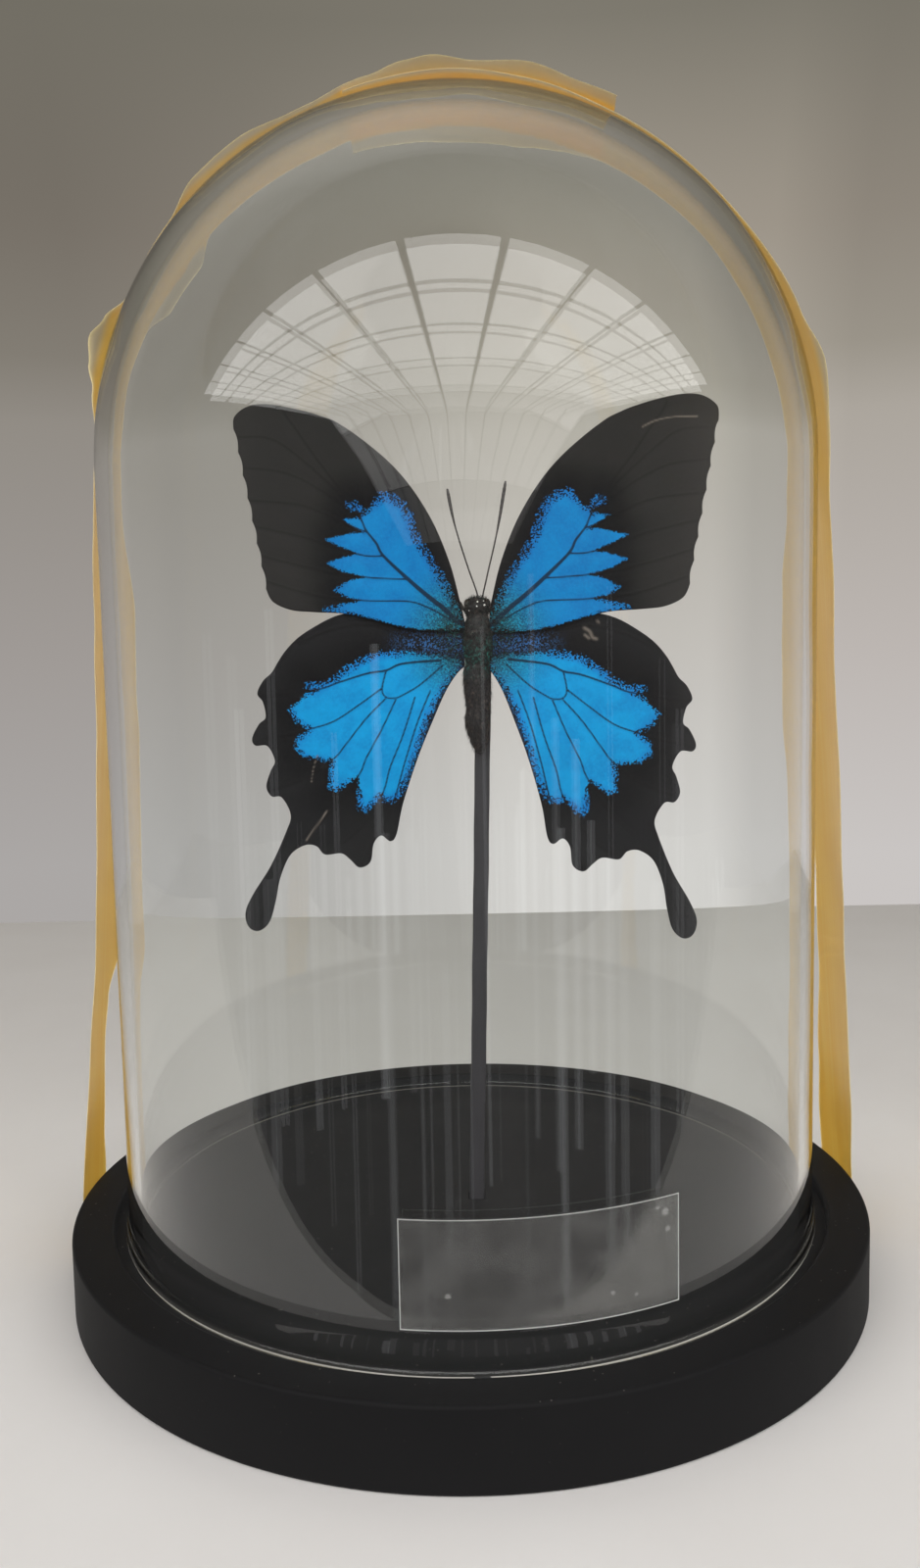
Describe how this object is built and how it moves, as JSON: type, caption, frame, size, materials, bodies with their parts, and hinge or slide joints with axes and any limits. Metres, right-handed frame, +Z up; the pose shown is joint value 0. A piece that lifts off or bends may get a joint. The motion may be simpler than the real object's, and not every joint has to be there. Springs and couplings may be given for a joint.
{
  "type": "insect in glass dome",
  "caption": "Blue swallowtail butterfly with spread wings on a thin black stick, under a clear glass dome taped down to a round black base.",
  "frame": {"origin": "centre of the base's underside", "axes": "+Z up, -Y to the front, where the butterfly's blue upper side faces, +X to the right"},
  "size_m": [0.2012, 0.2, 0.2884],
  "materials": {
    "base_paint": "fibreboard, turned and sprayed satin black",
    "dome_glass": "clear blown soda-lime glass, fire-polished rim",
    "stem_wood": "thin stick, matt black",
    "insect_hair": "black hair and scales with a green dusting",
    "wing_scales": "velvety black and powdery azure blue scales",
    "insect_chitin": "thin black chitin",
    "label_film": "clear adhesive film, blank",
    "tape_film": "amber translucent packing tape"
  },
  "bodies": {
    "root": {"base": "base_paint", "glass_dome": "dome_glass", "stem": "stem_wood", "insect_body": "insect_hair", "right_forewing": "wing_scales", "left_forewing": "wing_scales", "right_hindwing": "wing_scales", "left_hindwing": "wing_scales", "left_antenna": "insect_chitin", "right_antenna": "insect_chitin", "left_front_leg": "insect_chitin", "right_front_leg": "insect_chitin", "left_middle_leg": "insect_chitin", "right_middle_leg": "insect_chitin", "left_hind_leg": "insect_chitin", "right_hind_leg": "insect_chitin", "label": "label_film", "left_tape": "tape_film", "right_tape": "tape_film"}
  },
  "joints": []
}
